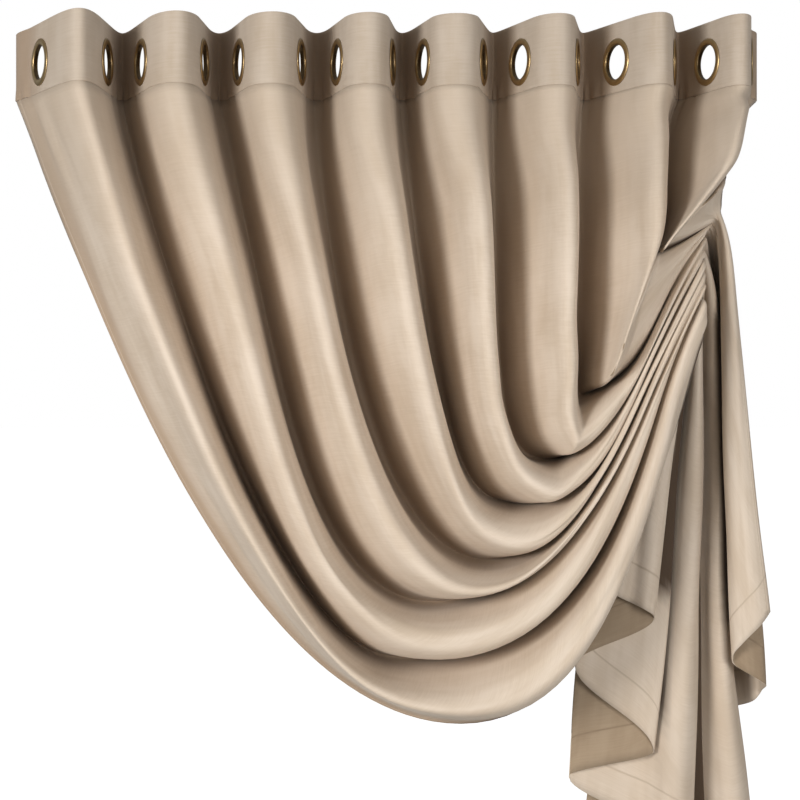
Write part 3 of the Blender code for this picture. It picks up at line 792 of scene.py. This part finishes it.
def velvetMaterial(name, light, deep, hemsAndShade):
    mat, tree, shader = newMaterial(name)
    place = addNode(tree, "ShaderNodeUVMap", uv_map="clothMap").outputs["UV"]
    layers = {}
    for key in ("clouds", "streaks", "threads", "warp", "pile"):
        stretch, scale, detail, rough = velvet[key]
        layers[key] = noise(tree, stretched(tree, place, stretch), scale, detail, rough)
    # brushed pile: broad clouds and faint upright streaks
    share = scaled(tree, layers["clouds"], velvet["cloudShare"])
    share = maths(tree, "ADD", share, scaled(tree, layers["streaks"], velvet["streakShare"]))
    share = maths(tree, "ADD", share, scaled(tree, layers["threads"], velvet["threadShare"]))
    colour = mixColours(tree, ramp(tree, share, *velvet["brushedRange"]), light, deep)
    # painted shade: the valleys are darkened towards the valley colour
    shadedValley = scaled(tree, attribute(tree, "paintedValleyShade"), velvet["valleyShadeShare"])
    colour = mixColours(tree, shadedValley, colour, velvet["valley"])
    height = scaled(tree, layers["pile"], velvet["pileBump"])
    weave = maths(tree, "ADD", layers["threads"], layers["warp"])
    height = maths(tree, "ADD", height, scaled(tree, weave, velvet["threadBump"]))
    if hemsAndShade:
        # painted shade: close under the heading the cloth is darkened towards the heading's tone
        lit = scaled(tree, ramp(tree, attribute(tree, "seamDown"), 0.0, velvet["shadeRun"]),
                     1.0 - velvet["shadeStart"])
        lit = maths(tree, "ADD", lit, velvet["shadeStart"])
        colour = mixColours(tree, lit, tinted(deep, velvet["headingShadeTone"]), colour)
        # painted shadow in the narrow gaps between ribbons and beside the tail layers
        inGapShadow = scaled(tree, attribute(tree, "paintedGapShadow"), velvet["gapShadowShare"])
        colour = mixColours(tree, inGapShadow, colour, velvet["gap"])
        # stitch lines of the bottom hem and the side hems
        fromHem = maths(tree, "SUBTRACT", attribute(tree, "hemUp"), cloth["hemDepth"])
        fromSide = maths(tree, "SUBTRACT", attribute(tree, "sideIn"), cloth["sideHem"])
        nearest = maths(tree, "MINIMUM", maths(tree, "ABSOLUTE", fromHem), maths(tree, "ABSOLUTE", fromSide))
        groove = ramp(tree, nearest, 0.0, velvet["stitchWidth"])
        height = maths(tree, "ADD", height, scaled(tree, groove, velvet["stitchDepth"]))
        colour = mixColours(tree, groove, tinted(deep, velvet["stitchTone"]), colour)
    bump = addNode(tree, "ShaderNodeBump", {"Height": height}, Strength=velvet["bumpStrength"],
                   Distance=velvet["bumpDistance"])
    tree.links.new(bump.outputs["Normal"], shader.inputs["Normal"])
    tree.links.new(colour, shader.inputs["Base Color"])
    shader.inputs["Roughness"].default_value = velvet["roughness"]
    shader.inputs["Specular IOR Level"].default_value = velvet["specular"]
    shader.inputs["Sheen Weight"].default_value = velvet["sheen"]
    shader.inputs["Sheen Roughness"].default_value = velvet["sheenRoughness"]
    shader.inputs["Sheen Tint"].default_value = (*velvet["sheenTint"], 1.0)
    return mat


clothFront = velvetMaterial("beigeVelvet", velvet["light"], velvet["deep"], True)
clothBack = velvetMaterial("velvetReverse", velvet["backLight"], velvet["backDeep"], True)
# the heading's colours: the velvet darkened by painted shade
shadedBandLight = tinted(velvet["light"], velvet["headingShadeTone"])
shadedBandDeep = tinted(velvet["deep"], velvet["headingShadeTone"])
shadedBandVelvet = velvetMaterial("headingVelvetShaded", shadedBandLight, shadedBandDeep, False)
print("velvet made")

curtain = makeCurtain()
curtain.data.materials.append(clothFront)
curtain.data.materials.append(clothBack)
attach(curtain, "root")
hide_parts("curtain")
print("curtain made:", len(curtain.data.polygons), "faces a side")


# rings
ring = {
    "bore": 0.0405,
    "outer": 0.0560,
    "face": 0.0018,       # half the gap that holds the cloth
    "flange": 0.0018,
    "barrel": 0.0013,
    "steps": 72,
    # the dome from the bore to the rim: share of the width, share of the height, wear
    "dome": (
        (0.00, 0.35, 0.0),
        (0.02, 0.60, 0.1),
        (0.08, 0.80, 0.5),
        (0.20, 0.94, 0.9),
        (0.36, 1.00, 1.0),
        (0.54, 0.98, 0.8),
        (0.70, 0.92, 0.6),
        (0.84, 0.82, 0.5),
        (0.94, 0.70, 0.7),
        (1.00, 0.56, 0.8),
    ),
    "rimIn": 0.98,
    "rimWear": 0.2,
    "backWear": 0.8,
    "brass": (0.560, 0.400, 0.200),
    "worn": (0.720, 0.560, 0.320),
    "dark": (0.130, 0.085, 0.045),
    "cloudy": (140.0, 4.0, 0.6),        # scale, detail, roughness
    "fine": (900.0, 3.0, 0.6),
    "wearShare": 0.75,
    "cloudShare": 0.35,
    "brassRange": (0.05, 0.70),
    "wornRange": (0.65, 1.05),
    "roughness": 0.30,
    "roughnessSpread": 0.12,
    "bumpStrength": 0.10,
    "bumpDistance": 0.0003,
}


def ringPlaces():
    # centre and axis of each ring, square to the flat cloth there
    places = []
    for row in heading["folds"]:
        for side in ("left", "right"):
            spot = slopePoint(row, side, 0.0)
            way = slopeWay(row, side)
            places.append((Vector((spot[0], spot[1], heading["ringZ"])), Vector((way[1], -way[0], 0.0))))
    return places


def turnTo(centre, axis):
    return Matrix.Translation(centre) @ axis.to_track_quat("Z", "Y").to_matrix().to_4x4()


def cylinderObject(name, radius, depth, steps):
    turns = [2.0 * pi * n / steps for n in range(steps)]
    verts = [(radius * cos(a), radius * sin(a), side * depth) for side in (-0.5, 0.5) for a in turns]
    faces = [(n, (n + 1) % steps, steps + (n + 1) % steps, steps + n) for n in range(steps)]
    faces.append(tuple(reversed(range(steps))))
    faces.append(tuple(range(steps, 2 * steps)))
    mesh = bpy.data.meshes.new(name)
    mesh.from_pydata(verts, [], faces)
    return bpy.data.objects.new(name, mesh)


def headingSheet():
    u = np.linspace(0.0, foldCount, heading["columns"] + 1)
    z = -heading["drop"] * np.linspace(0.0, 1.0, heading["rows"] + 1)
    points = np.zeros((len(z), len(u), 3))
    points[:, :, :2] = np.array([headingPoint(float(v)) for v in u])[None]
    points[:, :, 2] = z[:, None]
    wide = np.broadcast_to(u, points.shape[:2])
    down = np.broadcast_to((-heading["drop"] - z)[:, None], wide.shape)
    atRing = np.abs((wide * 2.0) % 1.0 - 0.5) / 2.0 < heading["flatShare"]
    push = np.where(atRing, 0.0, puckers(wide, down))
    points = points + gridNormals(points) * push[..., None]
    flat = wide * cloth["flatWidth"] / foldCount
    # painted shade in the heading's valleys
    marks = {"paintedValleyShade": inValley(wide, heading["valleyShadeSpan"])}
    return sheetObject("headingBand", points, flat, -points[..., 2], marks)


def punchHoles(obj):
    cutters = bpy.data.collections.new("ringHoles")
    bpy.context.scene.collection.children.link(cutters)
    for number, (centre, axis) in enumerate(ringPlaces(), 1):
        name = f"ringHole{number:02d}"
        cutter = cylinderObject(name, heading["holeRadius"], heading["holeDepth"], heading["holeSteps"])
        cutters.objects.link(cutter)
        cutter.matrix_world = turnTo(centre, axis)
    cut = obj.modifiers.new("holes", "BOOLEAN")
    cut.operation = "DIFFERENCE"
    cut.solver = "EXACT"
    cut.operand_type = "COLLECTION"
    cut.collection = cutters
    bpy.context.view_layer.update()
    baked = bpy.data.meshes.new_from_object(obj.evaluated_get(bpy.context.evaluated_depsgraph_get()))
    obj.modifiers.clear()
    obj.data = baked
    for cutter in list(cutters.objects):
        bpy.data.objects.remove(cutter)
    bpy.data.collections.remove(cutters)


def makeHeading():
    obj = headingSheet()
    thicken(obj, heading["thick"])
    soft = obj.modifiers.new("softEdge", "BEVEL")
    soft.width = heading["edgeRound"]
    soft.segments = 2
    soft.limit_method = "ANGLE"
    soft.angle_limit = radians(heading["edgeAngle"])
    punchHoles(obj)
    obj.data.set_sharp_from_angle(angle=radians(heading["sharpAngle"]))
    return obj


band = makeHeading()
band.data.materials.clear()
band.data.materials.append(shadedBandVelvet)
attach(band, "root")
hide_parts("heading")
print("heading made:", len(band.data.polygons), "faces")


def ringProfile():
    # radius, height and wear, out over the dome, round the rim, in under it and through the bore
    bore = ring["bore"] / 2
    wide = ring["outer"] / 2 - bore
    face = ring["face"]
    dome = face + ring["flange"]
    upper = [(bore + out * wide, up * dome, wear) for out, up, wear in ring["dome"]]
    upper.append((bore + ring["rimIn"] * wide, face, ring["rimWear"]))
    upper.append((bore + ring["barrel"], face, 0.0))
    lower = [(r, -h, w * ring["backWear"]) for r, h, w in reversed(upper)]
    return upper + lower


def makeRing(name, centre, axis, mat):
    profile = ringProfile()
    count = len(profile)
    steps = ring["steps"]
    verts = []
    wear = []
    for n in range(steps):
        a = 2.0 * pi * n / steps
        verts += [(r * cos(a), r * sin(a), h) for r, h, w in profile]
        wear += [w for r, h, w in profile]
    faces = []
    for n in range(steps):
        m = (n + 1) % steps
        faces += [(n * count + i, m * count + i, m * count + (i + 1) % count, n * count + (i + 1) % count)
                  for i in range(count)]
    mesh = bpy.data.meshes.new(name)
    mesh.from_pydata(verts, [], faces)
    layer = mesh.attributes.new("wear", "FLOAT", "POINT")
    layer.data.foreach_set("value", np.array(wear, np.float32))
    mesh.shade_smooth()
    mesh.materials.append(mat)
    mesh.transform(turnTo(centre, axis))
    obj = bpy.data.objects.new(name, mesh)
    bpy.context.scene.collection.objects.link(obj)
    return obj


def brassMaterial():
    mat, tree, shader = newMaterial("antiqueBrass")
    place = addNode(tree, "ShaderNodeTexCoord").outputs["Object"]
    cloudy = noise(tree, place, *ring["cloudy"])
    fine = noise(tree, place, *ring["fine"])
    share = maths(tree, "ADD", scaled(tree, attribute(tree, "wear"), ring["wearShare"]),
                  scaled(tree, cloudy, ring["cloudShare"]))
    colour = mixColours(tree, ramp(tree, share, *ring["brassRange"]), ring["dark"], ring["brass"])
    colour = mixColours(tree, ramp(tree, share, *ring["wornRange"]), colour, ring["worn"])
    tree.links.new(colour, shader.inputs["Base Color"])
    rough = maths(tree, "ADD", ring["roughness"], scaled(tree, fine, ring["roughnessSpread"]))
    tree.links.new(rough, shader.inputs["Roughness"])
    bump = addNode(tree, "ShaderNodeBump", {"Height": fine}, Strength=ring["bumpStrength"],
                   Distance=ring["bumpDistance"])
    tree.links.new(bump.outputs["Normal"], shader.inputs["Normal"])
    shader.inputs["Metallic"].default_value = 1.0
    return mat


brass = brassMaterial()
for number, (centre, axis) in enumerate(ringPlaces(), 1):
    piece = makeRing(f"brassRing{number:02d}", centre, axis, brass)
    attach(piece, "root")
    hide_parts(f"eyelet_{number:02d}")
print("rings made")

# stage, light and camera
stage = {
    "floorDrop": 0.03,
    "floorSize": 40.0,
    "floorColour": (0.60, 0.60, 0.60),
    "floorRoughness": 0.9,
    "floorGlow": 0.90,
    "worldColour": (1.0, 1.0, 1.0),
    "ambient": 0.25,
    "backdrop": 1.0,
}


def makeFloor(level):
    size = stage["floorSize"]
    mesh = bpy.data.meshes.new("floor")
    corners = [(-size, -size, level), (size, -size, level), (size, size, level), (-size, size, level)]
    mesh.from_pydata(corners, [], [(0, 1, 2, 3)])
    obj = bpy.data.objects.new("floor", mesh)
    bpy.context.scene.collection.objects.link(obj)
    mat, tree, shader = newMaterial("paleFloor")
    shader.inputs["Base Color"].default_value = (*stage["floorColour"], 1.0)
    shader.inputs["Roughness"].default_value = stage["floorRoughness"]
    # the floor looks white but throws little light up under the folds
    shader.inputs["Emission Color"].default_value = (*stage["worldColour"], 1.0)
    seen = addNode(tree, "ShaderNodeLightPath").outputs["Is Camera Ray"]
    tree.links.new(scaled(tree, seen, stage["floorGlow"]), shader.inputs["Emission Strength"])
    mesh.materials.append(mat)


def makeWorld():
    world = bpy.data.worlds.new("studio")
    bpy.context.scene.world = world
    world.use_nodes = True
    tree = world.node_tree
    background = tree.nodes["Background"]
    background.inputs["Color"].default_value = (*stage["worldColour"], 1.0)
    # the camera sees a white backdrop, while the cloth gets softer light from it
    seen = addNode(tree, "ShaderNodeLightPath").outputs["Is Camera Ray"]
    extra = scaled(tree, seen, stage["backdrop"] - stage["ambient"])
    tree.links.new(maths(tree, "ADD", extra, stage["ambient"]), background.inputs["Strength"])


lights = {
    "keyLight": {
        "place": (-1.8, -2.5, -0.25),
        "target": (-0.15, 0.0, -0.6),
        "size": 1.1,
        "power": 63.0,
        "colour": (1.0, 0.98, 0.96),
    },
    "fillLight": {
        "place": (1.5, -2.5, -0.4),
        "target": (0.25, 0.0, -0.65),
        "size": 1.2,
        "power": 32.0,
        "colour": (1.0, 0.99, 0.98),
    },
}


def makeLight(name, light):
    data = bpy.data.lights.new(name, "AREA")
    data.shape = "DISK"
    data.size = light["size"]
    data.energy = light["power"]
    data.color = light["colour"]
    obj = bpy.data.objects.new(name, data)
    obj.location = light["place"]
    way = Vector(light["target"]) - Vector(light["place"])
    obj.rotation_euler = way.to_track_quat("-Z", "Y").to_euler()
    bpy.context.scene.collection.objects.link(obj)


camera = {
    "place": (0.0155, -2.2, -0.4489),
    "lens": 83.2,
    "sensor": 36.0,
}


def makeCamera():
    data = bpy.data.cameras.new("camera")
    data.lens = camera["lens"]
    data.sensor_width = camera["sensor"]
    obj = bpy.data.objects.new("camera", data)
    obj.location = camera["place"]
    obj.rotation_euler = (radians(90.0), 0.0, 0.0)
    bpy.context.scene.collection.objects.link(obj)
    bpy.context.scene.camera = obj


makeFloor(cadBox[0].z - stage["floorDrop"])
makeWorld()
for name, light in lights.items():
    makeLight(name, light)
makeCamera()
bpy.context.scene.view_settings.view_transform = "Standard"
print("stage made")
